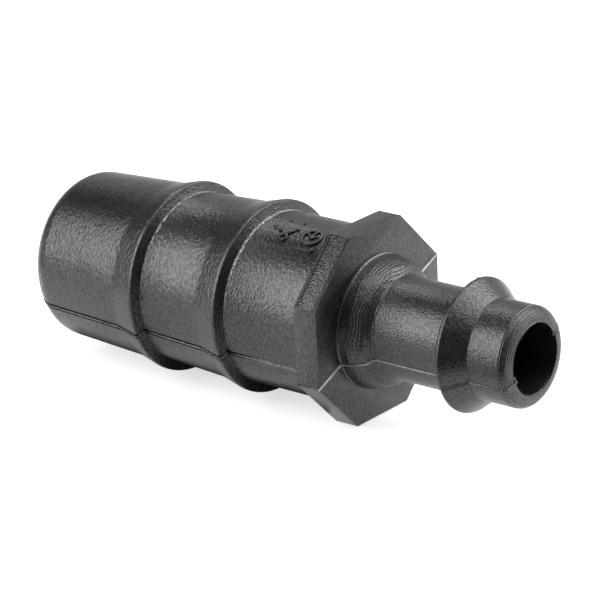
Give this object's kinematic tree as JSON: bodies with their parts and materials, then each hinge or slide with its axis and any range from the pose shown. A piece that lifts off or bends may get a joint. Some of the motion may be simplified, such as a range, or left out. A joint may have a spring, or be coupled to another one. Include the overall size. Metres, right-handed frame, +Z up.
{
  "type": "hose barb reducer",
  "caption": "Straight plastic hose reducer: a wide spigot with ring barbs, an eight-sided wrench flange, and a narrow spigot with one barb, bored through.",
  "frame": {"origin": "on the flow axis, in the plane of the flange face that looks to the small end", "axes": "+X along the flow axis to the small end, +Z up through a flat of the wrench flange, +Y to the left of +X"},
  "size_m": [0.0614, 0.021, 0.021],
  "materials": {
    "dark_plastic": "moulded dark grey filled plastic with a fine uneven grain"
  },
  "bodies": {
    "root": {"reducer_body": "dark_plastic"}
  },
  "joints": []
}
